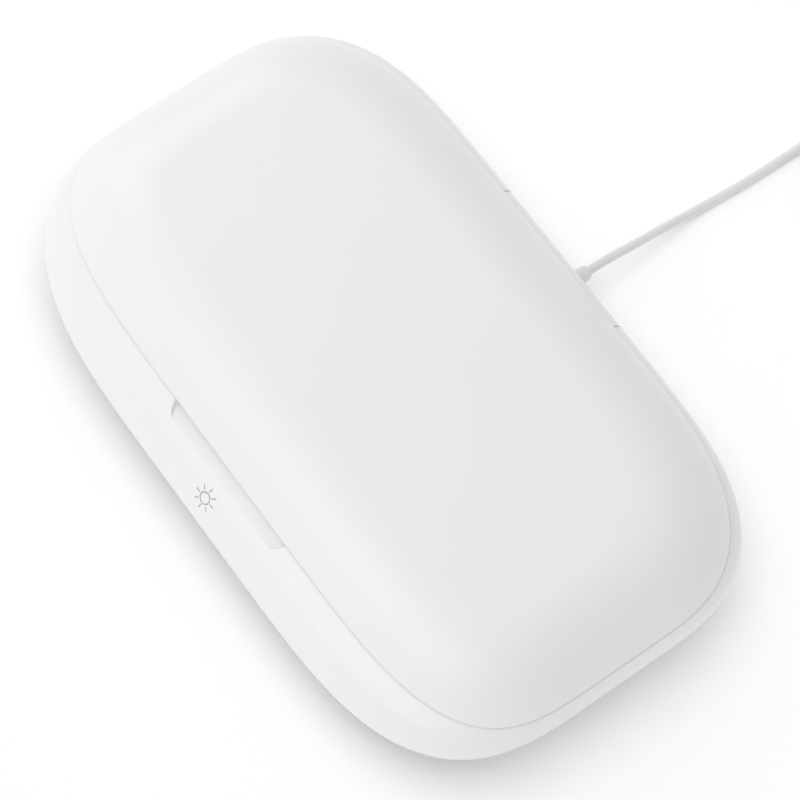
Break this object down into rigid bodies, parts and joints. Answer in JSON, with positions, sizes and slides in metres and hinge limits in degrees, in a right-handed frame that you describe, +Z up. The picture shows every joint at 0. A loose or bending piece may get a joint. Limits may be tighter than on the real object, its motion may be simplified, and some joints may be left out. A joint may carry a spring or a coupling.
{
  "type": "uv sanitizer box",
  "caption": "Pebble-shaped UV sanitizer box for phones with a hinged lid, an inner lamp chamber, a charging coil under the flat top and a captive lead.",
  "frame": {"origin": "centre of the box's footprint on the surface it stands on, the lead left out", "axes": "+X along the length, +Y to the hinge and the lead, +Z up"},
  "size_m": [0.215, 0.2585, 0.0441],
  "materials": {
    "shell_white": "glossy",
    "inner_white": "satin",
    "reflector": "mirror",
    "rubber": "matte",
    "screw_steel": "satin",
    "wire_steel": "polished",
    "lamp_glass": "clear",
    "lamp_metal": "satin",
    "magnet": "satin",
    "circuit_board": "satin",
    "components": "matte",
    "copper": "satin",
    "ferrite": "matte",
    "cord_white": "satin",
    "wire_insulation": "satin",
    "tie_grey": "matte",
    "plug_metal": "satin"
  },
  "bodies": {
    "base": {"base_shell": "shell_white", "bottom_cover": "inner_white", "rubber_feet": "rubber", "cover_screws": "screw_steel", "chamber_tray": "reflector", "tray_screws": "screw_steel", "phone_rack": "wire_steel", "base_lamp_tube": "lamp_glass", "base_lamp_caps": "lamp_metal", "base_lamp_clips": "inner_white", "base_magnets": "magnet", "power_board": "circuit_board", "power_parts": "components", "lamp_inverter": "circuit_board", "inverter_parts": "components", "board_screws": "screw_steel", "touch_pad": "copper", "touch_board": "circuit_board", "touch_screws": "screw_steel", "switch_body": "components", "switch_screws": "screw_steel", "lead_plate": "inner_white", "plate_screws": "screw_steel", "hinge_pins": "wire_steel", "inner_lead": "cord_white", "base_lamp_leads": "wire_insulation", "control_leads": "wire_insulation", "hinge_leads": "wire_insulation", "strain_relief": "cord_white", "cord_run": "cord_white", "cord_coil": "cord_white", "cord_tail": "cord_white", "cord_tie": "tie_grey", "plug_grip": "cord_white", "plug_shell": "plug_metal", "plug_tongue": "inner_white"},
    "lid": {"lid_cover": "shell_white", "lid_liner": "reflector", "liner_screws": "screw_steel", "light_seal": "rubber", "lid_lamp_tube": "lamp_glass", "lid_lamp_caps": "lamp_metal", "lid_lamp_clips": "inner_white", "lid_lamp_guard": "wire_steel", "lid_magnets": "magnet", "hinge_block": "shell_white", "hinge_screws": "screw_steel", "charging_coil": "copper", "coil_shield": "ferrite", "coil_holder": "inner_white", "charger_screws": "screw_steel", "charger_board": "circuit_board", "charger_parts": "components", "lid_leads": "wire_insulation"},
    "lid_switch": {"switch_plunger": "inner_white"}
  },
  "joints": [
    {"name": "lid_hinge", "type": "hinge", "parent": "base", "child": "lid", "pos_m": [0, 0.0606, 0.0233], "axis": [-1, 0, 0], "range_deg": [0, 100]},
    {"name": "switch_travel", "type": "slide", "parent": "base", "child": "lid_switch", "axis": [0, 0, 1], "range_m": [0, 0.0015], "stiffness_N_per_m": 100, "springref_m": 0.0015}
  ],
  "couplings": [
    {"joint": "switch_travel", "follows": "lid_hinge", "m_per_rad": 0.000859}
  ]
}
